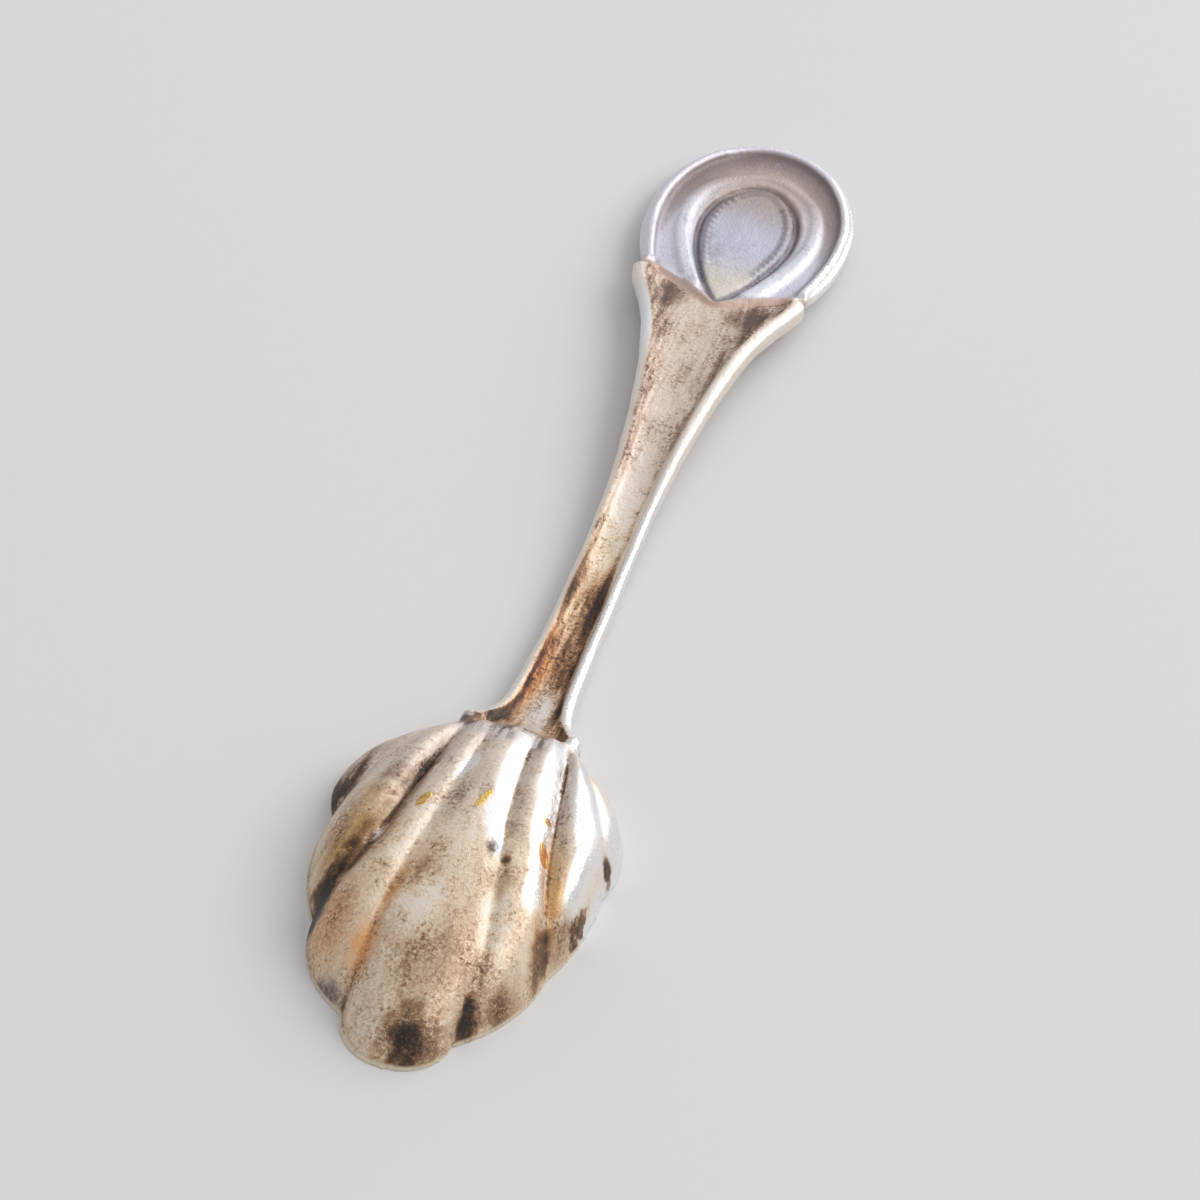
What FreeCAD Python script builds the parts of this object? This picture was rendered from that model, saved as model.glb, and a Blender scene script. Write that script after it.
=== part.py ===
# Salt spoon, struck in one piece, lying face down as it rests on a table.
# The bowl is a fluted shell with its back upwards. The handle has a raised thread along each edge and
# widens to a fiddle with two points. It ends in an oval with a raised rim, a horseshoe band and a teardrop.
# X runs across the spoon, Y from the bowl's tip to the handle's end, Z up from the table.
# The origin is on the table under the middle of the length and of the width.
import FreeCAD, Part
import math
import os
from FreeCAD import Vector

# Bowl
bowl_length = 23.4       # from the tip to the heel, where the ribs spring
bowl_half_width = 7.6    # to the bottom of the widest notch
bowl_depth = 5.2         # of the back's crown above the rim
sheet = 0.9              # thickness of the metal at the crown
rim_land = 0.8           # width of the flat edge that lies on the table
tip_swell = 0.12         # by which the middle rib stands above the line between its grooves
rib_swell = 0.18         # and the ribs beside it
belly_shift = 0.4        # by which the middle of the bowl stands to the left of the axis
inner_flutes = 0.5       # share of the flutes' depth that shows inside: the grooves' metal is thinner
inner_scallops = 0.8     # share of the scallops' rise that the inside follows

# Handle
handle_length = 53.6     # from the heel to the far end
stem_half_width = 1.47   # at its narrowest
stem_heel_half_width = 1.85
stem_waist = 15.0        # from the heel to the narrowest place
stem_sway = 0.22         # by which the stem stands to the right of the axis
stem_thickness = 1.25
stem_lift = 0.12         # of the stem's underside above the table behind the bowl
arch_lift = 1.15         # of the fiddle's underside above the table
arch_place = 31.6        # from the heel to the highest place of that arch
fiddle_half_width = 4.95 # at its two points
fiddle_depth = 18.5      # from where the stem begins to open to its widest place
flare_ease = 0.6         # share of that opening that is gentle
point_length = 0.85      # of the two points, past that widest place
point_round = 0.5        # radius of their corners
point_gap = 0.45         # between the fiddle's points and the notches behind them
thread_width = 0.62      # of the raised thread on the stem
fiddle_thread_width = 1.4
thread_height = 0.32     # of the thread above the channel between the threads
channel_hollow = 0.12    # of the channel's middle below its edges
edge_bevel = 0.3         # of the handle's lower edges

# Heel, where the handle joins the bowl
heel_height = 3.2        # of the channel's middle above the table
heel_sweep = 1.9         # over which the channel comes down from there
shoulder_half_width = 3.2
shoulder_height = 2.75   # of the two small shoulders at the ends of the threads
shoulder_reach = 1.9     # over which a thread swings out to its shoulder
knob_radius = 0.5        # of the knob on each shoulder
knob_rise = 0.25         # of the knob's flat top above the shoulder
knob_reach = 0.1         # by which the knob stands out past the shoulder
knob_place = 0.35        # of its middle behind the heel
root = 0.6               # by which the handle reaches into the bowl's metal

# Terminal
terminal_length = 13.2   # from the notches beside the fiddle's points to the far end
terminal_half_width = 5.75
terminal_shift = 0.1     # by which the oval stands to the right of the axis
terminal_thickness = 0.85
terminal_bevel = 0.35    # of its lower edge
waist_place = 5.3        # from the notches to the oval's widest place
notch_half_width = 4.75
bracket_drop = 2.4       # of the bracket's point below the notches
bracket_hollow = 0.25
bracket_line_width = 0.55
bracket_line_height = 0.2
oval_rim_width = 0.8
oval_rim_height = 0.36
oval_rim_set = 0.04      # of the rim inside the oval's edge
drop_half_width = 2.8    # of the teardrop
drop_length = 11.6
drop_clear = 0.2         # of the teardrop's point above the bracket's
drop_line = 0.35         # width of the groove that draws it
drop_depth = 0.2         # of that groove
band_width = 1.5         # of the horseshoe band at its sides
band_height = 0.28
band_gap = 0.15          # between the teardrop and the band at the sides
band_rise = 0.5          # by which the gap is wider at the top
rooted = 0.15            # by which the mouldings reach down into the plate


class Groove:
    """A pair of grooves on the bowl's back, one each side, from their springs at the heel to their notches.

    A path has four points: the spring, two that pull its curve, and the notch in the rim. They are shares
    of the bowl's half width, from the middle, and of its length, from the tip. The two sides differ.
    The crown is the height beside the groove as a share of the bowl's depth. Of that height, heel_fall is
    lost at the heel, and slope is lost gently on the way to the rim, where the rest turns down steeply.
    """

    def __init__(self, crown, heel_fall, slope, depths, left, right):
        self.crown = crown
        self.heel_fall = heel_fall
        self.slope = slope
        self.depths = depths     # at the heel, in the middle and near the rim
        self.paths = {-1: left, 1: right}


grooves = [
    Groove(
        0.985, 0.36, 0.50, (0.45, 0.10, 0.80),
        left=((0.148, 1.0), (0.116, 0.719), (0.326, 0.332), (0.396, 0.118)),
        right=((0.150, 1.0), (0.156, 0.664), (0.554, 0.366), (0.383, 0.117)),
    ),
    Groove(
        0.855, 0.36, 0.25, (0.55, 0.50, 0.85),
        left=((0.357, 1.0), (0.478, 0.647), (0.478, 0.413), (0.815, 0.370)),
        right=((0.358, 1.0), (0.571, 0.766), (0.571, 0.494), (0.830, 0.386)),
    ),
    Groove(
        0.743, 0.36, 0.20, (0.45, 0.60, 0.75),
        left=((0.405, 1.0), (0.862, 0.835), (0.680, 0.695), (0.982, 0.696)),
        right=((0.405, 1.0), (0.898, 0.770), (0.865, 0.696), (0.960, 0.670)),
    ),
    Groove(
        0.375, 0.0, 1.0, (0.0, 0.0, 0.0),
        left=((0.415, 1.0), (0.425, 1.0), (0.435, 1.0), (0.440, 1.0)),
        right=((0.415, 1.0), (0.425, 1.0), (0.435, 1.0), (0.440, 1.0)),
    ),
]
scallop_rises = (2.5, 0.7, 0.9, 2.75, 0.7, 0.4, 1.75)  # of the ribs, from the left, past the notches
fullness = 0.45          # share of a scallop's rise that the rib already has beside the rim
rim_steepness = 10.3     # the power with which the back turns down to the rim
bowl_poles = 10          # that draw each line from the heel to the rim
handle_poles = 28        # and each line along the handle
handle_crowding = 0.75   # by which those crowd towards the handle's ends


def mix(a, b, share):
    return a + (b - a) * share


def mix_points(a, b, share):
    return (mix(a[0], b[0], share), mix(a[1], b[1], share))


def greville(count, degree=3):
    """Where each pole of an evenly knotted curve has its say."""
    spans = count - degree
    knots = [0] * degree + [i / spans for i in range(spans + 1)] + [1] * degree
    return [sum(knots[i + 1:i + 1 + degree]) / degree for i in range(count)]


def arc_point(a, b, rise, share):
    """A point on the arc from a to b that rises to the right of that line."""
    chord = math.hypot(b[0] - a[0], b[1] - a[1])
    radius = (chord * chord / 4 + rise * rise) / (2 * rise)
    half_turn = math.asin(min(1.0, chord / 2 / radius))
    if rise > radius:
        half_turn = math.pi - half_turn
    turn = mix(-half_turn, half_turn, share)
    along = radius * math.sin(turn) + chord / 2
    out = radius * math.cos(turn) - (radius - rise)
    ux, uy = (b[0] - a[0]) / chord, (b[1] - a[1]) / chord
    return (a[0] + ux * along + uy * out, a[1] + uy * along - ux * out)


def groove_depth(groove, t):
    heel_depth, middle, rim = groove.depths
    near_heel = (1 - t) ** 3
    near_rim = t ** 5
    return (middle + (heel_depth - middle) * near_heel + (rim - middle) * near_rim) * (1 - t ** 12)


def groove_line(groove, side, t, inset, drop):
    """Place, height beside the groove and depth of the groove, at t from the heel to the rim."""
    weights = ((1 - t) ** 3, 3 * t * (1 - t) ** 2, 3 * t * t * (1 - t), t ** 3)
    across = side * sum(weight * point[0] for weight, point in zip(weights, groove.paths[side]))
    up = sum(weight * point[1] for weight, point in zip(weights, groove.paths[side]))
    y = inset + up * (bowl_length - 2 * inset)
    x = across * (bowl_half_width - inset) - belly_shift * math.sin(math.pi * up)
    to_heel = 1 - groove.heel_fall * (1 - t) ** 8
    height = (groove.crown * bowl_depth - drop) * rim_turn(groove, t) * to_heel
    return (x, y), height, groove_depth(groove, t)


def rim_turn(groove, t):
    """One in the middle of the back, falling to nothing at the rim."""
    return 1 - groove.slope * t ** 2.5 - (1 - groove.slope) * t ** rim_steepness


def rib_poles(left, right, rise, swell, t, inset, drop, flutes):
    """Four poles across the rib between two grooves, at t from the heel to the rim.

    In plan they draw an arc, which at the rim is the scallop, and in height a hump between two valleys.
    The inside is the same form, set in by inset at the rim and the heel and lowered by drop at the crown,
    with that share of the flutes' depth.
    """
    start, start_height, start_depth = groove_line(*left, t, inset, drop)
    end, end_height, end_depth = groove_line(*right, t, inset, drop)
    chord = math.hypot(end[0] - start[0], end[1] - start[1])
    bulge = rise * t * t * (t + 3 * fullness * (1 - t))
    along = (1 - (2 * bulge / chord) ** 2) / 3
    reach = bulge / chord * 4 / 3
    out = ((end[1] - start[1]) * reach, (start[0] - end[0]) * reach)
    hump = flutes * (swell * 4 / 3 * rim_turn(left[0], t) + (start_depth + end_depth) / 6)
    poles = [Vector(*start, start_height - flutes * start_depth)]
    for share in (along, 1 - along):
        x, y = mix_points(start, end, share)
        poles.append(Vector(x + out[0], y + out[1], mix(start_height, end_height, share) + hump))
    return poles + [Vector(*end, end_height - flutes * end_depth)]


def skin(rows):
    """A smooth face drawn by a net of poles: each row runs across, and the rows follow one another."""
    across, along = len(rows[0]), len(rows)
    degree = min(3, across - 1)
    spans_across, spans_along = across - degree, along - 3
    surface = Part.BSplineSurface()
    surface.buildFromPolesMultsKnots(
        [list(column) for column in zip(*rows)],
        [degree + 1] + [1] * (spans_across - 1) + [degree + 1],
        [4] + [1] * (spans_along - 1) + [4],
        [i / spans_across for i in range(spans_across + 1)],
        [i / spans_along for i in range(spans_along + 1)],
        False, False, degree, 3,
    )
    return surface


def flat_face(edges):
    return Part.Face(Part.Wire(Part.__sortEdges__(edges)))


def closed_solid(faces):
    shell = Part.Shell(faces)
    shell.sewShape()
    solid = Part.Solid(shell)
    if solid.Volume < 0:
        solid.reverse()
    return solid


def bowl_form(inset=0.0, drop=0.0, flutes=1.0, scallops=1.0):
    """The fluted form, solid right through, flat at the rim and at the heel."""
    lines = [(groove, -1) for groove in reversed(grooves)] + [(groove, 1) for groove in grooves]
    rises = [rise * scallops for rise in scallop_rises]
    swells = [rib_swell] * 3 + [tip_swell] + [rib_swell] * 3
    surfaces = [
        skin([rib_poles(*rib, t, inset, drop, flutes) for t in greville(bowl_poles)])
        for rib in zip(lines, lines[1:], rises, swells)
    ]
    rim = [surface.vIso(1).toShape() for surface in surfaces]
    back = [surface.vIso(0).toShape() for surface in surfaces]
    sides = [surfaces[0].uIso(0).toShape(), surfaces[-1].uIso(1).toShape()]
    foot = Part.LineSegment(surfaces[0].value(0, 1), surfaces[-1].value(1, 1)).toShape()
    faces = [surface.toShape() for surface in surfaces]
    faces += [flat_face(rim + [foot]), flat_face(back + sides + [foot])]
    return closed_solid(faces)


heel = bowl_length
far_end = bowl_length + handle_length
notch_y = far_end - terminal_length
points_y = notch_y - point_gap
widest_y = points_y - point_length
flare_start = widest_y - fiddle_depth
waist_y = notch_y + waist_place


def heel_share(y, reach, power):
    """One at the heel, falling away to nothing over about the reach."""
    return 1 / (1 + (max(0, y - heel) / reach) ** power)


def half_width(y):
    flare = min(1, max(0, (y - flare_start) / fiddle_depth))
    opened = flare_ease * flare ** 1.4 + (1 - flare_ease) * flare ** 6
    narrowing = min(1, max(0, 1 - (y - heel) / stem_waist)) ** 1.5
    stem = mix(stem_half_width, stem_heel_half_width, narrowing)
    at_heel = (shoulder_half_width - stem) * heel_share(y, shoulder_reach, 3.3)
    return stem + at_heel + (fiddle_half_width - stem_half_width) * opened


def sway(y):
    share = min(1, max(0, (y - heel) / (points_y - heel)))
    return stem_sway * math.sin(math.pi * share)


def underside(y):
    arch_y = heel + arch_place
    turn = min(1, abs(y - arch_y) / (far_end - arch_y))
    return stem_lift + (arch_lift - stem_lift) * math.cos(turn * math.pi / 2) ** 2


def thread_size(y):
    opened = (half_width(y) - stem_half_width) / (fiddle_half_width - stem_half_width)
    return mix(thread_width, fiddle_thread_width, max(0, opened) ** 0.6)


def handle_section(y):
    """Strips of the handle's outline at y: the channel, the right side, the bottom and the left side."""
    w = half_width(y)
    bottom = underside(y)
    channel = bottom + stem_thickness - thread_height
    edge = mix(channel, shoulder_height - thread_height, heel_share(y, shoulder_reach, 2.6))
    middle = mix(channel - channel_hollow, heel_height, math.exp(-max(0, y - heel) / heel_sweep))
    thread = min(thread_size(y), w * 0.45)
    crest = edge + thread_height
    half = [
        (w - thread, edge), (w - 0.7 * thread, crest), (w - 0.3 * thread, crest),
        (w, crest - thread_height / 2), (w, bottom + edge_bevel), (w - edge_bevel, bottom),
    ]
    right = [Vector(sway(y) + x, y, z) for x, z in half]
    left = [Vector(sway(y) - x, y, z) for x, z in half]
    around = right + left[::-1]
    hollow = [left[0], Vector(sway(y), y, 2 * middle - edge), right[0]]
    return [hollow] + [list(strip) for strip in zip(around, around[1:])]


def rounded_point(side):
    """What is cut away to round one of the fiddle's points."""
    x, y = side * fiddle_half_width, points_y
    a = Vector(x - side * point_round, y, 0)
    b = Vector(x, y - point_round, 0)
    bulge = point_round * math.sqrt(0.5)
    between = Vector(x - side * (point_round - bulge), y - point_round + bulge, 0)
    corners = [b, Vector(x + side, b.y, 0), Vector(x + side, y + 1, 0), Vector(a.x, y + 1, 0), a]
    edges = [Part.Arc(a, between, b).toShape()]
    edges += [Part.LineSegment(*ends).toShape() for ends in zip(corners, corners[1:])]
    return prism(edges, 0, arch_lift + 2 * stem_thickness)


def handle_form():
    sections = []
    for share in greville(handle_poles):
        crowded = mix(share, share * share * (3 - 2 * share), handle_crowding)
        sections.append(handle_section(mix(heel - root, points_y, crowded)))
    surfaces = [skin(rows) for rows in zip(*sections)]
    ends = [flat_face([surface.vIso(v).toShape() for surface in surfaces]) for v in (0, 1)]
    handle = closed_solid([surface.toShape() for surface in surfaces] + ends)
    return handle.cut([rounded_point(-1), rounded_point(1)])


def shoulder_knobs():
    """A stubby post on each shoulder, its top bevelled."""
    knobs = []
    for side in (-1, 1):
        x = side * (shoulder_half_width - knob_radius + knob_reach)
        top = Vector(x, heel + knob_place, shoulder_height)
        foot = top - Vector(0, 0, 2 * knob_radius)
        knobs.append(Part.makeCylinder(knob_radius, 2 * knob_radius, foot))
        knobs.append(Part.makeCone(knob_radius, knob_radius / 2, knob_rise, top))
    return knobs


def spline(points, closed=False):
    curve = Part.BSplineCurve()
    curve.interpolate([Vector(x, y, 0) for x, y in points], PeriodicFlag=closed)
    return curve.toShape()


def prism(edges, low, high):
    face = flat_face(edges)
    face.translate(Vector(0, 0, low))
    return face.extrude(Vector(0, 0, high - low))


def oval_edge(inset):
    """The oval's edge from notch to notch, set in from the true edge."""
    near = waist_place / math.sqrt(1 - (notch_half_width / terminal_half_width) ** 2)
    last = math.pi - math.asin(notch_half_width / terminal_half_width)
    points = []
    for i in range(15):
        turn = mix(-last, last, i / 14)
        reach = far_end - waist_y if math.cos(turn) > 0 else near
        across = (terminal_half_width - inset) * math.sin(turn)
        points.append((terminal_shift + across, waist_y + (reach - inset) * math.cos(turn)))
    return points


def plate_outline():
    edge = oval_edge(0)
    point = (terminal_shift, notch_y - bracket_drop)
    arcs = [
        Part.Arc(Vector(*a, 0), Vector(*arc_point(a, b, bracket_hollow, 0.5), 0), Vector(*b, 0)).toShape()
        for a, b in ((point, edge[0]), (edge[-1], point))
    ]
    return [spline(edge)] + arcs


def moulding(points, widths, heights, level):
    """A raised moulding along the points, bevelled on both sides, of changing width and height."""
    rows = []
    for i, (x, y) in enumerate(points):
        before, after = points[max(i - 1, 0)], points[min(i + 1, len(points) - 1)]
        ahead = (after[0] - before[0], after[1] - before[1])
        half = widths[i] / 2 / math.hypot(*ahead)
        across = Vector(-ahead[1] * half, ahead[0] * half, 0)
        foot, crest = Vector(x, y, level), Vector(x, y, level + heights[i])
        rows.append([foot + across, crest + across * 0.45, crest - across * 0.45, foot - across])
    surfaces = [skin([row[k:k + 2] for row in rows]) for k in range(3)]
    surfaces.append(skin([[row[3], row[0]] for row in rows]))
    ends = [flat_face([surface.vIso(v).toShape() for surface in surfaces]) for v in (0, 1)]
    return closed_solid([surface.toShape() for surface in surfaces] + ends)


def drop_edge(out, top_out, count):
    """The teardrop's edge from its point, up the left side and down the right, or a line outside it."""
    foot = notch_y - bracket_drop + drop_clear - out
    left = []
    for i in range(count + 1):
        up = i / count
        across = (drop_half_width + out) * math.sqrt(math.sin(math.pi * up ** 1.45))
        left.append((-across, foot + (drop_length + out + top_out) * up))
    right = [(-x, y) for x, y in reversed(left[:-1])]
    return [(x + terminal_shift, y) for x, y in left + right]


def bracket_line():
    """Points along the bracket from the left notch through its point to the right notch."""
    edge = oval_edge(0)
    point = (terminal_shift, notch_y - bracket_drop)
    shares = [i / 5 for i in range(6)]
    left = [arc_point(point, edge[0], bracket_hollow, share) for share in reversed(shares)]
    right = [arc_point(edge[-1], point, bracket_hollow, share) for share in reversed(shares)]
    return left + right[1:]


def terminal_form():
    level = terminal_thickness
    plate = prism(plate_outline(), 0, level)
    lower_edges = [edge for edge in plate.Edges if edge.BoundBox.ZMax < level / 2]
    plate = plate.makeChamfer(terminal_bevel, [max(lower_edges, key=lambda edge: edge.Length)])
    rim_line = oval_edge(oval_rim_width / 2 + oval_rim_set)
    rim = moulding(rim_line, [oval_rim_width] * 15, [oval_rim_height + rooted] * 15, level - rooted)
    band_out = band_gap + band_width / 2
    band_line = drop_edge(band_out, band_out + band_rise, 8)[1:-1]
    fade = [math.sin(math.pi * i / 14) ** 2 for i in range(15)]
    widths = [mix(band_width, 0.6 * band_width, share) for share in fade]
    heights = [mix(band_height, 0.25 * band_height, share) + rooted for share in fade]
    band = moulding(band_line, widths, heights, level - rooted)
    band = band.common(prism(plate_outline(), 0, 2 * level))
    line = bracket_line()
    line_widths = [bracket_line_width] * len(line)
    line_heights = [bracket_line_height + rooted] * len(line)
    bracket = moulding(line, line_widths, line_heights, level - rooted)
    plate = plate.fuse([rim, band, bracket])
    groove_floor = level - drop_depth
    plate = plate.cut(prism([spline(drop_edge(0, 0, 8))], groove_floor, 2 * level))
    island = prism([spline(drop_edge(-drop_line, -drop_line, 8))], groove_floor - rooted, level)
    return plate.fuse(island)


bowl = bowl_form().cut(bowl_form(rim_land, sheet, inner_flutes, inner_scallops))
handle = handle_form()
terminal = terminal_form()
tilt = math.degrees(math.atan2(underside(notch_y), far_end - notch_y))
terminal.rotate(Vector(0, far_end, 0), Vector(1, 0, 0), -tilt)
spoon = bowl.fuse([handle, terminal] + shoulder_knobs())
middle = spoon.optimalBoundingBox().Center
spoon.translate(Vector(-middle.x, -middle.y, 0))
os.makedirs("parts", exist_ok=True)
spoon.exportStep("parts/salt_spoon.step")
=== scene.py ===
# Old silver-plated salt spoon, lying face down. Camera, table and light come first, then the spoon
# with its finish. Camera, table and lamps are given in metres, and the spoon's own places and sizes
# in mm, with +Y from the bowl's tip to the handle's end, +X to the right seen from the bowl, and +Z
# up through the back.
import bpy
import bmesh
import math
import numpy as np
from mathutils import Euler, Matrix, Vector, noise


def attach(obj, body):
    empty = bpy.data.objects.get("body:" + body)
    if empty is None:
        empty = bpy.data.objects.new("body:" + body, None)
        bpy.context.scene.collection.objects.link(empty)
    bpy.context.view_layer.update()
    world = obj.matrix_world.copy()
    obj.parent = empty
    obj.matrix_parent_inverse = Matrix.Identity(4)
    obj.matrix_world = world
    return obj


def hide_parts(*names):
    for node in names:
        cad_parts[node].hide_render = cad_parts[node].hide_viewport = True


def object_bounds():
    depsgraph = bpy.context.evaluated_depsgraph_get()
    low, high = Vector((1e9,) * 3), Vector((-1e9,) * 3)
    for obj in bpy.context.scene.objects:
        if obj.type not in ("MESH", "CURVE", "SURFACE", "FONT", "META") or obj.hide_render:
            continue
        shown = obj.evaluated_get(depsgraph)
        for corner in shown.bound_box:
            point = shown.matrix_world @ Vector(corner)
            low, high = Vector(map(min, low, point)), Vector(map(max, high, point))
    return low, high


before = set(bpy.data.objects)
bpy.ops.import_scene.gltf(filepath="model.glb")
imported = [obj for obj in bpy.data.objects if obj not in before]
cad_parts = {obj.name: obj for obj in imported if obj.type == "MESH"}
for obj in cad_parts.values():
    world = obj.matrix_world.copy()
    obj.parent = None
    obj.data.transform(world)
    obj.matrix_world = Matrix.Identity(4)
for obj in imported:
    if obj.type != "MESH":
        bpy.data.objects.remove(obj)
cad_box = [list(corner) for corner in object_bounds()]
scene = bpy.context.scene


# Camera
# A long lens looks down along the spoon from beyond the bowl's tip, a little from the right, as in
# the photograph. The camera is tipped to its left, so the spoon lies slantwise in the picture.
camera_place = (0.06818, -0.34917, 0.31953)
camera_turns = (47.755, -5.566, 15.934)      # degrees about X, Y and Z

lens = bpy.data.cameras.new("camera")
lens.lens = 269.3
lens.sensor_width = 36
lens.clip_start = 0.01
lens.clip_end = 20
camera = bpy.data.objects.new("camera", lens)
camera.location = camera_place
camera.rotation_euler = Euler([math.radians(turn) for turn in camera_turns])
scene.collection.objects.link(camera)
scene.camera = camera
scene.view_settings.view_transform = "Standard"


# Table
# A plain pale table top, matt and all of one tone. Far from the spoon it curves up all round into a
# wall, so that low views end in the same colour.
table_colour = (0.735, 0.732, 0.728)
table_reach = 3.0        # from the spoon to the foot of the wall
wall_rise = 1.2
wall_steps = 23
ring_count = 64          # vertices round the table


def rgba(colour):
    return (*colour, 1.0) if isinstance(colour, tuple) and len(colour) == 3 else colour


class Value:
    """A socket that carries one number, or a number itself, with arithmetic that adds Math nodes."""

    def __init__(self, shader, source):
        self.shader = shader
        self.source = source

    def maths(self, operation, *others, clamp=False):
        node = self.shader.tree.nodes.new("ShaderNodeMath")
        node.operation = operation
        node.use_clamp = clamp
        for socket, other in zip(node.inputs, (self,) + others):
            self.shader.feed(socket, other)
        return Value(self.shader, node.outputs[0])

    def __add__(self, other):
        return self.maths("ADD", other)

    def __radd__(self, other):
        return self.maths("ADD", other)

    def __sub__(self, other):
        return self.maths("SUBTRACT", other)

    def __rsub__(self, other):
        return Value(self.shader, other).maths("SUBTRACT", self)

    def __mul__(self, other):
        return self.maths("MULTIPLY", other)

    def __rmul__(self, other):
        return self.maths("MULTIPLY", other)

    def __truediv__(self, other):
        return self.maths("DIVIDE", other)

    def __rtruediv__(self, other):
        return Value(self.shader, other).maths("DIVIDE", self)

    def clamped(self):
        return self.maths("ADD", 0.0, clamp=True)

    def most(self, *others):
        """The largest of this and the others."""
        largest = self
        for other in others:
            largest = largest.maths("MAXIMUM", other)
        return largest

    def between(self, low, high):
        """Nothing below low, one above high, and a smooth step between them."""
        return self.shader.node("MapRange", {"interpolation_type": "SMOOTHSTEP"},
                                {"Value": self, "From Min": low, "From Max": high})


class Shader:
    """A material with its nodes, on a Principled shader."""

    def __init__(self, name):
        self.material = bpy.data.materials.new(name)
        self.material.use_nodes = True
        self.tree = self.material.node_tree
        self.surface = self.tree.nodes["Principled BSDF"]

    def feed(self, socket, what):
        if isinstance(what, Value):
            what = what.source
        if isinstance(what, bpy.types.NodeSocket):
            self.tree.links.new(what, socket)
        else:
            socket.default_value = what

    def node(self, kind, settings=None, inputs=None, output=0):
        node = self.tree.nodes.new("ShaderNode" + kind)
        for name, setting in (settings or {}).items():
            if name == "stops":
                ramp = node.color_ramp
                while len(ramp.elements) < len(setting):
                    ramp.elements.new(1)
                for stop, (place, colour) in zip(ramp.elements, setting):
                    stop.position = place
                    stop.color = rgba(colour)
            else:
                setattr(node, name, setting)
        for name, what in (inputs or {}).items():
            self.feed(node.inputs[name], what)
        return Value(self, node.outputs[output])

    def mix(self, share, first, second, blend="MIX"):
        """Two colours mixed by share."""
        colours = {0: share, 6: rgba(first), 7: rgba(second)}
        return self.node("Mix", {"data_type": "RGBA", "blend_type": blend}, colours, output=2)

    def finish(self, **sockets):
        for name, what in sockets.items():
            self.feed(self.surface.inputs[name.replace("_", " ")], what)


table_net = bmesh.new()
rings = []
for step in range(wall_steps + 1):
    climb = math.radians(90 * step / wall_steps)
    out = table_reach + wall_rise * math.sin(climb)
    up = wall_rise * (1 - math.cos(climb))
    turns = [2 * math.pi * k / ring_count for k in range(ring_count)]
    rings.append([table_net.verts.new((out * math.cos(turn), out * math.sin(turn), up)) for turn in turns])
table_net.faces.new(rings[0])
for near, far in zip(rings, rings[1:]):
    for k in range(ring_count):
        after = (k + 1) % ring_count
        table_net.faces.new((near[k], far[k], far[after], near[after]))
table_mesh = bpy.data.meshes.new("table")
table_net.to_mesh(table_mesh)
table_net.free()
table_mesh.shade_smooth()
table = bpy.data.objects.new("table", table_mesh)
scene.collection.objects.link(table)

matt = Shader("table")
matt.finish(Base_Color=rgba(table_colour), Roughness=0.85, Specular_IOR_Level=0.2)
table_mesh.materials.append(matt.material)


# Light
# A window behind the spoon on its right, which the ribs' right flanks mirror, a large soft lamp high
# on the right, and a pale room round it all.
room_colour = (0.97, 0.98, 1.0)
room_strength = 0.60


def lamp(name, place, size, power, colour):
    """A rectangular lamp that faces the spoon."""
    light = bpy.data.lights.new(name, "AREA")
    light.shape = "RECTANGLE"
    light.size, light.size_y = size
    light.energy = power
    light.color = colour
    holder = bpy.data.objects.new(name, light)
    holder.location = place
    holder.rotation_euler = (-Vector(place)).to_track_quat("-Z", "Y").to_euler()
    scene.collection.objects.link(holder)


lamp("window", (0.42, 0.80, 0.47), (0.95, 0.7), 4.6, (1.0, 0.995, 0.985))
lamp("softbox", (0.85, 0.1, 0.85), (0.8, 0.8), 4.6, (1.0, 1.0, 1.0))
room = bpy.data.worlds.new("room")
room.use_nodes = True
scene.world = room
backdrop = room.node_tree.nodes["Background"]
backdrop.inputs["Color"].default_value = rgba(room_colour)
backdrop.inputs["Strength"].default_value = room_strength


# Spoon
# One piece of nickel silver, struck between dies, with the bowl raised into a fluted shell, then
# silver-plated. The plate has tarnished brown in the hollows and worn pale on the ribs, and old
# knocks have left it uneven.
to_mm = 1000.0
weld = 0.000004          # metres between vertices that are one
grain = 0.12             # mm between neighbouring vertices, before the flat parts are thinned out
most_triangles = 190000
clearance = 0.01         # by which the dressed spoon stays inside its box
far_off = 9.0            # stands for any gap too large to matter

net = bmesh.new()
net.from_mesh(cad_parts["salt_spoon"].data)
bmesh.ops.remove_doubles(net, verts=net.verts, dist=weld)
bmesh.ops.scale(net, vec=(to_mm,) * 3, verts=net.verts)
metal = bpy.data.meshes.new("spoon")
net.to_mesh(metal)
net.free()
spoon = bpy.data.objects.new("spoon", metal)
scene.collection.objects.link(spoon)


def worked_in():
    """The spoon's mesh, once its modifiers are worked into it."""
    rough = spoon.data
    worked = bpy.data.meshes.new_from_object(spoon.evaluated_get(bpy.context.evaluated_depsgraph_get()))
    spoon.modifiers.clear()
    spoon.data = worked
    bpy.data.meshes.remove(rough)
    worked.name = "spoon"
    return worked


even = spoon.modifiers.new("even", "REMESH")
even.mode = "VOXEL"
even.voxel_size = grain
soften = spoon.modifiers.new("soften", "SMOOTH")
soften.factor = 0.5
soften.iterations = 4
metal = worked_in()


def read(owner, what, width, kind=float):
    """One property of all of a mesh's vertices or edges, as rows."""
    values = np.empty(len(owner) * width, dtype=kind)
    owner.foreach_get(what, values)
    return values.reshape(-1, width)


places = read(metal.vertices, "co", 3)
normals = read(metal.vertices, "normal", 3)
ends = read(metal.edges, "vertices", 2, np.int64)
vertex_count = len(places)
neighbours = np.bincount(ends.ravel(), minlength=vertex_count).astype(float)


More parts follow.
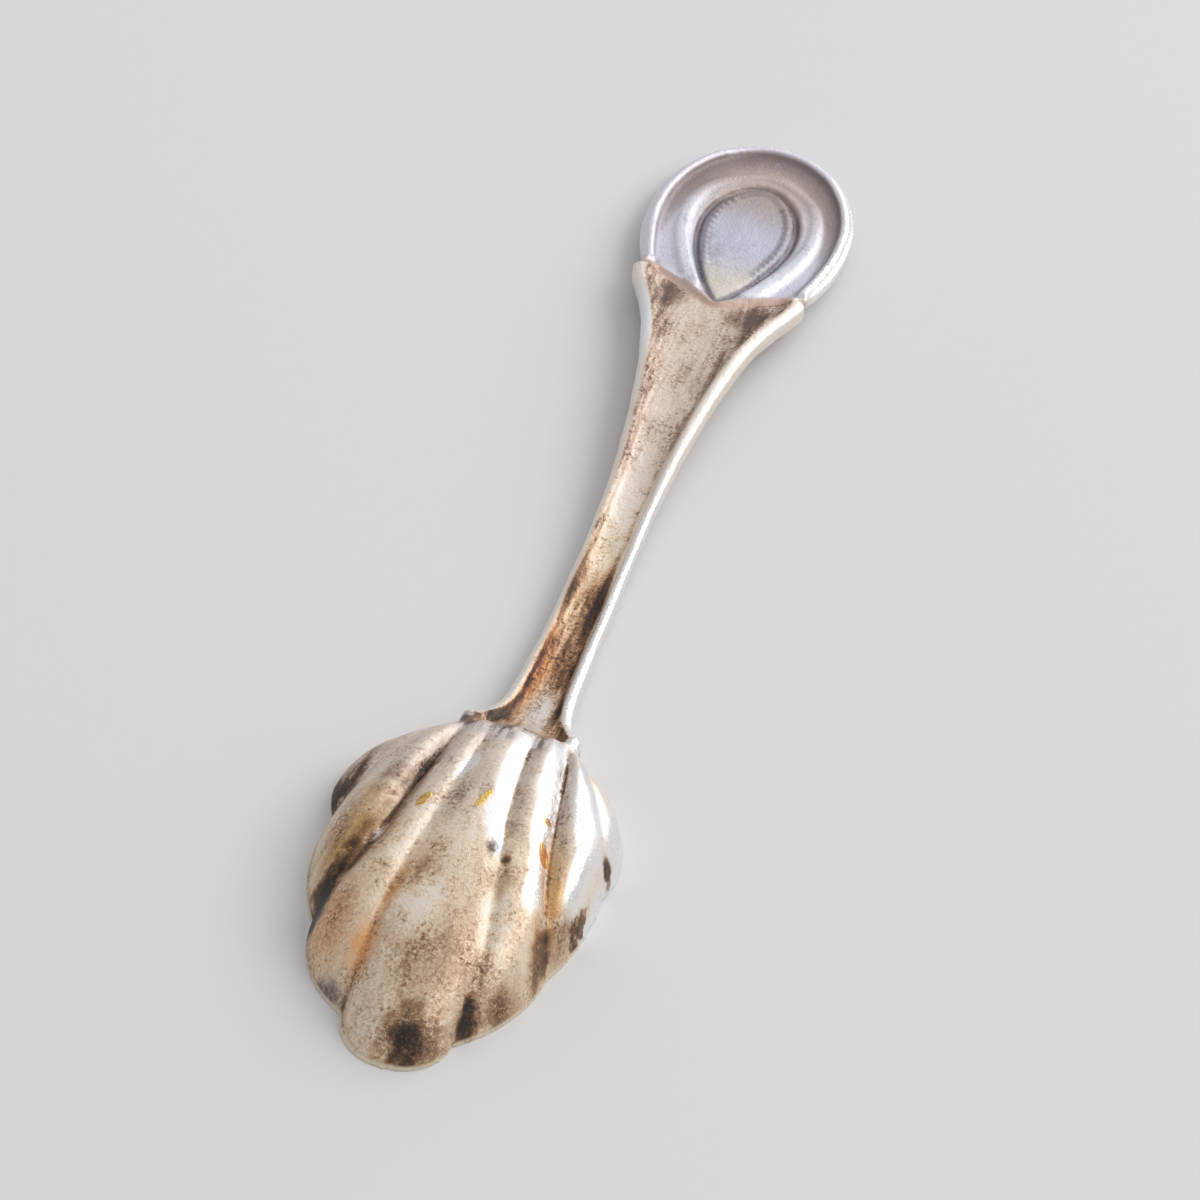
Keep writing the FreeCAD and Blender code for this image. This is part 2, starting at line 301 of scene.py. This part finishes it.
def smoothed(values, times):
    """Values on the vertices, each averaged with its neighbours so many times."""
    for _ in range(times):
        total = np.zeros_like(values)
        for column in range(values.shape[1]):
            ahead = np.bincount(ends[:, 0], values[ends[:, 1], column], vertex_count)
            behind = np.bincount(ends[:, 1], values[ends[:, 0], column], vertex_count)
            total[:, column] = ahead + behind
        values = 0.5 * values + 0.5 * total / neighbours[:, None]
    return values


def uneven(size, seed):
    """Smooth noise from about -1 to 1 on the vertices, in lumps of that size in mm."""
    offset = Vector((seed * 7.3, seed * 3.1, seed * 5.7))
    return np.array([noise.noise(Vector(place) / size + offset) for place in places])


# Old knocks: slow dents all over, and a finer unevenness, but not where the edge lies on the table
dent_size, dent_depth = 3.2, 0.055
ripple_size, ripple_depth = 1.2, 0.03
edge_height = 0.25
off_table = np.clip(places[:, 2] / edge_height, 0, 1)
shift = (dent_depth * uneven(dent_size, 1) + ripple_depth * uneven(ripple_size, 2)) * off_table

# The teardrop in the oval has a crisp cut line, and a row of beads inside each of its sides
oval_axis = 0.66
plate_start = 22         # the oval's plate lies past this
plate_bottom = 0.7       # and its upper side above this
drop_foot = 23.08
drop_half_width = 2.8
drop_length = 11.6
cut_inset, cut_depth, cut_spread = 0.17, 0.1, 0.16
bead_inset, bead_radius, bead_height, bead_pitch = 0.66, 0.21, 0.13, 0.5
first_bead, past_beads = 3.2, 10.2       # along the teardrop's side, from its foot


def drop_half(inset, up):
    """Half the teardrop's width at a share of its length, with its edge set in."""
    return (drop_half_width - inset) * np.sqrt(np.sin(np.pi * up ** 1.45))


def drop_line(inset, point_count):
    """Points of the teardrop's left and right sides, set in from its edge."""
    up = np.linspace(0, 1, point_count)
    rise = drop_foot + inset + (drop_length - 2 * inset) * up
    return [np.stack([oval_axis + side * drop_half(inset, up), rise], 1) for side in (-1, 1)]


def gap_to(line, points):
    """How far each point is from the nearest of a line's points, seen from above."""
    return np.min(np.linalg.norm(points[:, None, :] - line[None, :, :], axis=2), axis=1)


on_plate = (places[:, 1] > plate_start) & (places[:, 2] > plate_bottom)
on_top = np.flatnonzero(on_plate & (normals[:, 2] > 0.4))
flat = places[on_top, :2]
cut_gap = gap_to(np.concatenate(drop_line(cut_inset, 260)), flat)
shift[on_top] -= cut_depth * np.exp(-(cut_gap / cut_spread) ** 2)
for side in drop_line(bead_inset, 41):
    travelled = np.concatenate([[0], np.cumsum(np.linalg.norm(np.diff(side, axis=0), axis=1))])
    for distance in np.arange(first_bead, past_beads, bead_pitch):
        bead = [np.interp(distance, travelled, side[:, axis]) for axis in (0, 1)]
        off_middle = np.linalg.norm(flat - bead, axis=1) / bead_radius
        shift[on_top] += bead_height * np.clip(1 - off_middle ** 2, 0, 1)
places = places + normals * shift[:, None]

# The ribs' upper ends fade into the heel
heel_place, heel_reach = -16.0, 1.5
heel_bottom, heel_fade = 2.2, 0.5
heel_rounds, heel_share = 70, 0.85       # of smoothing
at_heel = np.exp(-((places[:, 1] - heel_place) / heel_reach) ** 4)
at_heel = at_heel * np.clip((places[:, 2] - heel_bottom) / heel_fade, 0, 1)
places += (smoothed(places, heel_rounds) - places) * (heel_share * at_heel)[:, None]
low, high = np.array(cad_box) * to_mm
places = np.clip(places, low + clearance, high - clearance)
metal.vertices.foreach_set("co", places.ravel())
metal.update()

# Where each vertex stands, for the finish: how deep in a hollow, how much it faces right, how far
# across the handle, and how far from the edge, from the bracket between the fiddle and the oval, and
# from the teardrop
handle_axis = 0.56
handle_start = -15
slice_length = 0.3
slice_count = 401
oval_middle = np.array((oval_axis, 30.63))
oval_half_width = 5.75
oval_up, oval_down = 7.9, 9.4            # of the whole egg, most of whose lower end lies under the fiddle
bracket_point, bracket_rise, bracket_half_width = 22.93, 2.4, 4.75
bracket_reach = 5

normals = read(metal.vertices, "normal", 3)
marks = {"hollow": ((smoothed(places, 30) - places) * normals).sum(axis=1)}
marks["flank"] = (smoothed(normals, 8) - smoothed(normals, 160))[:, 0]

along_handle = places[:, 1] > handle_start
slices = np.clip(((places[:, 1] - handle_start) / slice_length).astype(int), 0, slice_count - 1)
aside = places[:, 0] - handle_axis
slice_half = np.zeros(slice_count)
np.maximum.at(slice_half, slices[along_handle], np.abs(aside[along_handle]))
slice_middles = handle_start + slice_length * (np.arange(slice_count) + 0.5)
half_width = np.interp(places[:, 1], slice_middles, slice_half)
marks["across"] = np.where(along_handle, aside / np.maximum(half_width, 0.5), 0)

from_middle = places[:, :2] - oval_middle
upper, lower = (oval_half_width, oval_up), (oval_half_width, oval_down)
oval_radii = np.where(from_middle[:, 1:2] > 0, upper, lower)
way_out = np.maximum(np.linalg.norm(from_middle / oval_radii, axis=1), 0.05)
oval_gap = (1 / way_out - 1) * np.linalg.norm(from_middle, axis=1)
handle_gap = np.where(along_handle, half_width - np.abs(aside), far_off)
notch = bracket_rise * np.abs(from_middle[:, 0]) / bracket_half_width
past_bracket = places[:, 1] - bracket_point - notch
marks["edge_gap"] = np.where(past_bracket > 0, oval_gap, handle_gap)
marks["bracket_gap"] = np.clip(past_bracket, -bracket_reach, bracket_reach)

near_plate = np.flatnonzero(places[:, 1] > plate_start - 1)
drop_gaps = np.full(vertex_count, far_off)
drop_gaps[near_plate] = gap_to(np.concatenate(drop_line(0.0, 200)), places[near_plate, :2])
up_drop = np.clip((places[:, 1] - drop_foot) / drop_length, 0, 1)
inside = np.abs(from_middle[:, 0]) < drop_half(0.0, up_drop)
marks["drop_gap"] = np.where(inside, -drop_gaps, drop_gaps)

# Back to metres, and the flat parts thinned out
metal.vertices.foreach_set("co", (places / to_mm).ravel())
for name, values in marks.items():
    metal.attributes.new(name, "FLOAT", "POINT").data.foreach_set("value", values.astype(np.float32))
metal.update()
thin = spoon.modifiers.new("thin", "DECIMATE")
thin.ratio = min(1.0, most_triangles / (2 * len(metal.polygons)))
metal = worked_in()
metal.shade_smooth()

# Finish of the spoon: worn silver plate. It tarnishes by depth, from cream through tan and brown to
# black, in ragged specks, most in the grooves and at the tip. The flanks that face left are darkened
# as painted shade, and those that face right get painted highlights of pale bare metal.
silver = Shader("silver")
place_on_spoon = silver.node("TexCoord", output=3)       # its Object socket
mm = silver.node("VectorMath", {"operation": "SCALE"}, {0: place_on_spoon, "Scale": to_mm})
x, y, z = (silver.node("SeparateXYZ", {}, {0: mm}, output=k) for k in range(3))
hollow, flank, across, edge_gap, bracket_gap, drop_gap = (
    silver.node("Attribute", {"attribute_name": name}, output=2)
    for name in ("hollow", "flank", "across", "edge_gap", "bracket_gap", "drop_gap")
)


def mottle(size, detail, rough, seed):
    """Noise from about -1 to 1, in blots of that size in mm."""
    moved = silver.node("VectorMath", {"operation": "ADD"}, {0: mm, 1: (seed, seed * 1.7, seed * 0.6)})
    grit = {"Vector": moved, "Scale": 1 / size, "Detail": detail, "Roughness": rough}
    return (silver.node("TexNoise", {}, grit) - 0.5) * 4


blots = mottle(2.4, 3.0, 0.55, 0.0)
lumps = mottle(0.75, 3.0, 0.6, 9.1)
specks = mottle(0.2, 3.0, 0.72, 3.1)
fine = mottle(0.10, 2.0, 0.6, 8.3)
ragged = blots * 0.15 + lumps * 0.26 + specks * 0.14

# Streaks run with the ribs, which fan out from the heel, and along the stem
fan_start, fan_width, narrowest_fan = -8, 14, 10.0
fan = (x - handle_axis) * fan_width / (fan_start - y).most(narrowest_fan)
along = silver.node("CombineXYZ", {}, {0: fan * 1.7, 1: y * 0.3, 2: z * 0.3})
streaks = silver.node("TexNoise", {}, {"Vector": along, "Scale": 1.0, "Detail": 3.0, "Roughness": 0.62})
streaks = (streaks - 0.5) * 4


def patch(place, radii, turn=0.0, ragged_by=1.0):
    """One in the middle of an egg-shaped patch, fading raggedly to nothing at its edge."""
    away = silver.node("VectorMath", {"operation": "SUBTRACT"}, {0: mm, 1: place})
    if turn:
        lean = math.radians(-turn)
        away = silver.node("VectorRotate", {"rotation_type": "Z_AXIS"}, {"Vector": away, "Angle": lean})
    scaled = silver.node("VectorMath", {"operation": "DIVIDE"}, {0: away, 1: radii})
    distance = silver.node("VectorMath", {"operation": "LENGTH"}, {0: scaled}, output=1)
    return 1 - (distance + ragged * ragged_by).between(0.25, 1.15)


def stained(depth, ragged_by, patches):
    """The tarnish's depth with more patches, each by its place, radii, turn and weight."""
    for place, radii, turn, weight in patches:
        depth = depth + patch(place, radii, turn, ragged_by) * weight
    return depth


# The parts of the spoon
on_bowl = 1 - y.between(-16.2, -15.0)
on_oval = bracket_gap.between(-0.1, 0.15)
on_handle = (1 - on_bowl) * (1 - on_oval)
thread = (1 - edge_gap.between(0.5, 0.85)) * on_handle
faces_right = flank.between(-0.03, 0.10)
left_flank_shade = 1 - flank.between(-0.30, -0.04)
groove = hollow.between(0.012, 0.085)
heel = patch((0.7, -16.0, 3.6), (3.6, 2.2, 1.8), 0, 1.2)
low_stem = (1 - (y + lumps * 0.9).between(-1.5, 1.6)) * on_handle
wedge = patch((0.85, -12.4, 2.0), (0.85, 4.4, 2.6), 4, 0.5) * (1 - on_bowl * 0.6) * (1 - on_oval)

# How deep the tarnish is, from 0 to 1, with its patches in mm. Weights below 0 make it paler.
depth = 0.22 + blots * 0.09 + streaks * 0.11 + lumps * 0.08
# Deeper in the grooves, as tarnish, and on the flanks that face left, as painted shade
depth = depth + on_bowl * (groove * 0.30 + left_flank_shade * 0.18)
depth = stained(depth, 1.5, (
    ((1.2, -37.4, 1.0), (1.1, 1.2, 1.6), 0, 0.26),        # black at the tip, in a broad brown stain
    ((1.4, -37.1, 1.2), (2.4, 2.2, 2.1), 0, 0.37),
    ((3.7, -34.9, 0.9), (0.8, 1.8, 1.7), 10, 0.52),       # and in the notch to its right
    ((5.0, -33.2, 1.0), (2.0, 1.8, 1.9), 0, 0.28),
    ((0.9, -33.6, 3.2), (3.2, 3.0, 3.0), 0, 0.13),        # tan over the tip and right of the crest
    ((2.2, -31.4, 3.8), (1.8, 5.0, 2.6), 12, 0.07),
    ((3.2, -29.0, 3.9), (0.9, 5.0, 2.0), 10, -0.16),      # the faint groove right of the crest
    ((-0.2, -31.0, 4.2), (1.3, 2.6, 2.0), 0, -0.16),      # pale crest
    ((-1.6, -25.0, 4.8), (0.7, 3.6, 1.5), -14, -0.16),
    ((2.1, -25.7, 4.6), (0.40, 0.9, 1.2), 10, 0.42),      # spots on the crest
    ((2.9, -26.3, 4.5), (0.35, 0.4, 1.2), 0, 0.46),
    ((3.0, -27.7, 4.3), (0.9, 1.2, 1.2), 0, 0.24),
    ((-0.9, -28.6, 4.6), (0.6, 1.6, 1.0), -10, 0.14),
    ((-0.4, -22.6, 4.8), (0.6, 3.8, 1.4), -14, 0.18),     # streak between the two upper flakes
    ((-2.5, -33.0, 2.6), (0.8, 2.4, 1.8), -6, -0.13),     # where the film is orange
    ((-4.6, -31.2, 2.2), (1.6, 2.6, 2.2), -10, 0.10),
    ((-5.6, -30.4, 1.3), (0.8, 2.2, 1.8), -30, 0.34),     # slate stains at the left edge
    ((-3.6, -34.9, 0.4), (1.5, 1.3, 1.0), 0, 0.24),
    ((-4.3, -26.8, 3.8), (1.1, 6.4, 2.4), -15, 0.18),     # second groove on the left, and the rib beyond it
    ((-5.6, -25.6, 2.8), (1.6, 5.0, 2.6), -12, 0.14),
    ((-6.0, -29.8, 1.8), (0.9, 3.4, 2.4), -24, 0.26),
    ((-5.0, -27.8, 3.1), (0.7, 2.4, 1.8), -18, 0.18),
    ((-5.8, -29.2, 1.4), (0.9, 1.6, 1.8), -20, 0.26),
    ((-4.4, -21.4, 3.7), (0.6, 2.0, 1.6), -16, 0.22),     # dark patches by the heel on the left
    ((-3.1, -20.8, 3.9), (0.8, 2.6, 1.6), -20, 0.30),
    ((-2.6, -15.0, 2.6), (1.0, 1.0, 1.2), 0, 0.30),
    ((-5.9, -19.2, 2.7), (0.7, 2.4, 1.8), -30, 0.20),     # and on the leftmost rib
    ((-6.4, -20.9, 2.3), (0.6, 2.0, 1.4), -35, 0.24),
    ((-7.0, -20.8, 1.6), (1.6, 3.6, 2.4), 0, 0.24),
    ((-7.4, -21.4, 0.9), (0.8, 1.8, 1.4), 0, 0.36),
    ((5.3, -25.6, 3.4), (0.6, 5.0, 2.2), 12, -0.08),      # left flank of the second rib on the right
    ((5.9, -29.6, 1.5), (0.6, 2.8, 2.2), 12, 0.38),       # the groove before it, and its lower end
    ((6.4, -28.0, 1.6), (1.0, 2.4, 1.8), 8, 0.23),
    ((7.2, -26.2, 1.0), (0.7, 1.3, 1.3), 4, 0.62),
    ((7.4, -22.2, 1.2), (1.3, 0.6, 1.7), 0, 0.72),        # wedge across the rightmost rib
))

# Painted highlights: the right-hand ribs' right flanks, from the heel two thirds of the way down, a few
# glints elsewhere, and streaks at the heel; the tarnish is made paler under them
sunny_end = x.maths("MINIMUM", 4.4) * 1.35 - (x - 5.0).most(0.0) * 0.9
sun = x.between(0.4, 1.4) * (y + lumps * 0.8 + sunny_end).between(-23.4, -21.6) * on_bowl
bright = (sun * faces_right * (1 - groove * 0.9)).most(
    patch((5.8, -21.6, 3.6), (0.8, 5.0, 2.2), 20, 0.5) * (1 - groove),
    patch((7.2, -19.8, 1.9), (1.0, 2.8, 2.4), 0, 0.6),                   # the rightmost rib
    patch((6.2, -19.9, 3.2), (0.8, 2.4, 1.2), 30, 0.5) * 0.7,
    patch((3.5, -15.1, 2.9), (0.9, 0.9, 1.0), 0, 0.4) * 0.9,             # the right shoulder
    patch((-3.8, -26.0, 3.9), (0.32, 0.9, 0.8), -15, 0.7),               # glints on the left
    patch((-0.8, -20.2, 4.5), (0.4, 1.7, 1.2), -16, 1.6) * 0.8,
    heel * (streaks + 0.2).between(0.0, 0.7) * (1 - groove) * 0.75,
)
depth = depth - bright * 0.35 + heel * (0.15 + streaks.between(0.1, -0.9) * 0.3)

# Handle: brown in the channel near the bowl, dark streaks up both its sides, pale above
side_streaks = across.maths("ABSOLUTE").between(0.25, 0.62)
depth = depth + low_stem * (1 - wedge) * (0.15 + streaks * 0.15)
depth = depth + on_handle * side_streaks * (1 - thread) * (0.20 + streaks * 0.12)
depth = stained(depth, 0.6, (
    ((1.3, -2.6, 1.2), (0.5, 3.6, 1.2), -4, 0.26),        # black streak on the right, brown on the left
    ((-0.2, -1.2, 1.2), (0.5, 2.6, 1.2), 0, 0.18),
    ((-0.6, -6.5, 1.3), (0.4, 3.0, 1.5), 8, 0.16),
    ((0.7, -6.8, 1.0), (1.3, 2.6, 1.4), 0, 0.10),
    ((1.9, -10.5, 1.6), (0.35, 3.4, 1.5), -8, 0.32),      # on both sides of the heel's pale wedge
    ((-1.3, -13.2, 2.2), (1.1, 1.3, 1.6), 30, 0.35),
    ((0.6, 5.0, 1.3), (1.1, 5.0, 1.4), 0, -0.20),         # pale middle of the stem
    ((2.6, 22.3, 1.8), (1.7, 1.3, 1.5), 30, 0.26),        # painted shadow under the bracket
    ((-1.8, 22.9, 1.8), (1.3, 1.6, 1.5), -30, 0.22),
    ((0.6, 18.0, 1.9), (1.4, 4.0, 1.5), 0, 0.08),
))
depth = depth * (1 - on_oval) * (1 - thread * 0.88) + on_oval * (0.12 + blots * 0.06)

# Pits, and specks that reach deeper than the film round them, most on the lower left and the tip
pit_spread = {"Vector": mm, "Scale": 1.9}
from_pit = silver.node("TexVoronoi", {}, pit_spread) + specks * 0.05
pit_chance = silver.node("SeparateColor", {}, {0: silver.node("TexVoronoi", {}, pit_spread, output=1)})
pits = (1 - from_pit.between(0.06, 0.20)) * pit_chance.between(0.55, 0.95) * (1 - on_oval)
gritty = patch((-4.2, -32.4, 2.0), (3.2, 3.6, 2.8)).most(patch((0.6, -36.6, 1.6), (4.0, 2.6, 3.0)))
clumps = 0.11 + (lumps + blots * 0.5).between(-0.4, 0.9) * 0.24 + gritty * 0.12
speckled = depth + specks * clumps * (1 - thread * 0.7) + fine * 0.08 + pits * 0.22


def seen(red, green, blue):
    """A colour given as it looks on a screen, 0 to 255, as the light that it reflects."""
    return tuple(((part / 255 + 0.055) / 1.055) ** 2.4 for part in (red, green, blue))


def tint(colour, share, film):
    """The colour pulled towards that of a film over it, darks staying dark."""
    return silver.mix(share, colour, silver.mix(1.0, colour, seen(*film), "MULTIPLY"))


def by_depth(shallow, deep, pale, dark):
    """A pale colour where the tarnish is no deeper than shallow, and a dark one from deep on."""
    return silver.mix(speckled.between(shallow, deep), seen(*pale), seen(*dark))


# Colours of the tarnish
colour = silver.node("ValToRGB", {"stops": (
    (0.0, seen(236, 224, 210)), (0.17, seen(230, 210, 186)), (0.33, seen(206, 178, 148)),
    (0.48, seen(156, 122, 93)), (0.63, seen(106, 77, 54)), (0.8, seen(56, 40, 27)), (1.0, seen(28, 20, 15)),
)}, {"Fac": speckled})
# Painted sparkle: pale flecks in the bowl's mid tones, standing in for light glinting off fine relief
painted_sparkle = fine.between(0.45, 0.9) * speckled.between(0.28, 0.4)
painted_sparkle = painted_sparkle * (1 - speckled.between(0.5, 0.75)) * on_bowl
colour = silver.mix((painted_sparkle * (0.5 + gritty * 0.4)).clamped(), colour, seen(242, 226, 196))

# Coloured films on the bowl: orange between the left ribs, gold and tan on the ribs, slate at the left edge
orange = patch((-2.5, -33.1, 2.5), (0.9, 2.6, 1.8), -4)
orange = orange.most(patch((-1.9, -29.8, 3.9), (0.5, 2.6, 1.4), -10) * 0.7)
for share, film in (
    (orange * (0.85 + lumps * 0.4).clamped(), (255, 202, 138)),
    (patch((-4.7, -31.6, 2.2), (2.4, 3.8, 2.6), -10) * 0.7, (246, 214, 176)),
    (patch((5.4, -26.6, 3.1), (1.1, 5.0, 2.4), 13) * 0.9, (240, 212, 160)),
    (patch((-5.2, -26.0, 3.1), (1.5, 4.6, 2.4), -12) * 0.8, (236, 216, 164)),
    (patch((-6.8, -20.9, 1.8), (1.4, 2.4, 1.8)) * 0.8, (232, 204, 150)),
):
    colour = tint(colour, share, film)
slate = patch((-5.7, -30.2, 1.1), (1.0, 2.6, 1.6), -30).most(patch((-3.6, -34.9, 0.4), (1.5, 1.3, 1.0)))
colour = silver.mix(slate * 0.6, colour, by_depth(0.2, 0.7, (172, 172, 172), (74, 74, 76)))
colour = tint(colour, patch((2.2, -25.6, 4.6), (0.55, 0.8, 1.0), 10, 0.6), (170, 190, 222))

# Copper on the stem beside the pale wedge at the heel, grey on the fiddle and on the bowl near the heel
copper = low_stem * (1 - thread) * (1 - wedge)
colour = tint(colour, copper * (0.36 + streaks * 0.3).clamped(), (250, 208, 172))
colour = silver.mix(wedge * 0.75, colour, by_depth(0.15, 0.5, (206, 198, 188), (150, 134, 116)))
colour = tint(colour, copper * patch((-0.3, -8.0, 1.5), (1.3, 4.2, 1.8), 4, 0.8), (250, 214, 168))
fiddle = on_handle * y.between(1.0, 9.0) * (1 - thread)
colour = silver.mix(fiddle * 0.42, colour, by_depth(0.2, 0.6, (206, 194, 192), (120, 102, 98)))
cool = on_bowl * (y + blots * 1.2).between(-27.0, -19.5) * (1 - speckled.between(0.35, 0.7))
colour = silver.mix(cool * 0.42, colour, seen(214, 207, 206))
colour = silver.mix(heel * 0.65, colour, by_depth(0.2, 0.6, (198, 190, 190), (96, 80, 74)))

# The bowl's edge, pale: partly rubbed bright where it has lain on cloth and table, partly a painted
# highlight along the sheet's edge
edge_wear_and_highlight = (1 - z.between(0.14, 0.32)) * on_bowl * (1 - (lumps + blots).between(0.3, 1.0) * 0.7)
colour = silver.mix(edge_wear_and_highlight * 0.8, colour, seen(230, 219, 196))

# Oval: lilac and blue-grey, browner towards the top, with painted shade inside the rim that is broadest at
# the top, and a pale horseshoe
rise = y.between(27.0, 34.5)
field = silver.mix(rise, seen(206, 204, 216), seen(184, 166, 158))
shade_width = 0.45 + rise * 1.7
inner_shade = (1 - ((edge_gap - 0.86) / shade_width).between(0.1, 1.0)) * edge_gap.between(0.68, 0.9)
field = silver.mix(inner_shade * (0.45 + rise * 0.35), field, seen(122, 111, 113))
horseshoe = drop_gap.between(0.12, 0.35) * (1 - drop_gap.between(1.15, 1.5))
horseshoe = horseshoe * (1 - y.between(30.0, 35.0) * 0.85)
field = silver.mix(horseshoe * 0.85, field, seen(224, 224, 232))

# Inside the teardrop: cream at its foot, then lilac and brown, darker by the beads and at its edge
inside_drop = 1 - drop_gap.between(-0.35, -0.25)
centre = silver.mix(y.between(24.5, 28.5), seen(216, 208, 198), seen(196, 196, 210))
centre = silver.mix(y.between(29.5, 33.5), centre, seen(176, 164, 162))
beaded = drop_gap.between(-1.05, -0.85) * (1 - drop_gap.between(-0.5, -0.35))
beaded = beaded * y.between(26.0, 28.0)
centre = silver.mix(beaded * 0.45, centre, seen(120, 106, 106))
field = silver.mix(inside_drop, field, centre)
drop_dark = 1 - (drop_gap + cut_inset).maths("ABSOLUTE").between(0.08, 0.34)
drop_dark = drop_dark * (1 - y.between(32.0, 34.5) * 0.6)
field = silver.mix(drop_dark * 0.75, field, seen(92, 82, 88))

# The oval's rim, with a painted highlight that is brightest on the right, a few stains over it all, and the
# bracket's warm line
rim = 1 - edge_gap.between(0.62, 0.86)
sunny = (x + y * -0.35).between(-9.5, -6.0)
field = silver.mix(rim, field, silver.mix(sunny, seen(226, 222, 229), seen(250, 249, 251)))
stain = (specks * 0.3 + lumps * 0.4 + blots * 0.4).between(0.1, 0.8) * (0.45 - rim * 0.35)
field = silver.mix(stain, field, seen(146, 132, 134))
colour = silver.mix(on_oval, colour, field)
# The bracket's warm line: partly its tan colour, partly a painted highlight along the plate's raised edge
bracket = (1 - bracket_gap.maths("ABSOLUTE").between(0.18, 0.42)) * y.between(21.0, 22.0)
colour = silver.mix(bracket * 0.8, colour, seen(206, 176, 158))

# The left shoulder's grey knob, and the left thread's white gleam beside the fiddle
knob = patch((-2.5, -15.1, 2.9), (0.6, 0.6, 0.9), 0, 0.4)
colour = silver.mix(knob * 0.85, colour, seen(112, 104, 106))
gleam = thread * patch((-2.6, 20.0, 2.2), (1.6, 4.6, 1.8), 0, 0.3)
colour = silver.mix(gleam * 0.9, colour, seen(238, 240, 245))

# Pale bare metal: the bowl's painted highlights; the threads, worn bare and with painted highlights on the
# right one, low on the stem and by the left shoulder; the oval's rim with its painted highlight; all broken
# by deep specks
bare_silver = (0.93, 0.93, 0.95)
threads_bright = (thread * (0.30 + x.between(-1.0, 2.0) * (1 - y.between(3.0, 12.0)) * 0.5)).most(
    wedge * 0.35,
    thread * patch((-1.6, -13.3, 2.2), (1.1, 1.3, 1.2), 0, 0.4),
)
shine = bright.most(
    threads_bright * (1 - speckled.between(0.3, 0.55)),
    on_oval * rim * (0.15 + sunny * 0.6),
)
scuffs = (specks * 0.5 + lumps * 0.3).between(0.35, 0.95) * (1 - on_oval)
shine = (shine * (1 - scuffs * 0.4)).clamped() * (1 - speckled.between(0.34, 0.56))
colour = silver.mix(shine * 0.9, colour, bare_silver)

# Amber flakes of old lacquer, the one on the crest paler
flakes = [patch(place, radii, turn, 0.8).between(0.35, 0.5) for place, radii, turn in (
    ((-2.2, -23.7, 4.8), (0.34, 0.85, 1.2), -24),
    ((0.7, -22.7, 4.9), (0.28, 1.2, 1.2), -16),
    ((4.5, -24.7, 3.9), (0.34, 1.1, 1.4), 24),
    ((4.1, -22.6, 4.2), (0.26, 0.32, 1.2), 0),
)]
flakes = flakes[0].most(*flakes[1:])
paler = (lumps + specks).between(-0.6, 0.6).most(patch((0.7, -22.7, 4.9), (1.2, 2.4, 1.6)) * 0.9)
colour = silver.mix(flakes * 0.85, colour, silver.mix(paler, seen(206, 128, 24), seen(236, 200, 104)))

# Gloss and relief: bright metal is smooth, tarnish duller and sunken, and the flakes stand up
dull = (1 - shine) * (1 - flakes)
deep = speckled.between(0.3, 0.8)
roughness = (0.22 + dull * 0.24 + deep * 0.12 + specks * 0.05 + fine * 0.03).clamped()
height = specks * 0.5 + fine * 0.25 + lumps * 0.5 - deep * 0.8 + flakes * 1.2
relief = silver.node("Bump", {}, {"Strength": 0.55, "Distance": 0.00003, "Height": height})
bare = (0.95 - dull * 0.5 - deep * 0.3).clamped()
silver.finish(Base_Color=colour, Metallic=bare, Roughness=roughness, Normal=relief)
metal.materials.clear()
metal.materials.append(silver.material)
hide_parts("salt_spoon")
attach(spoon, "root")
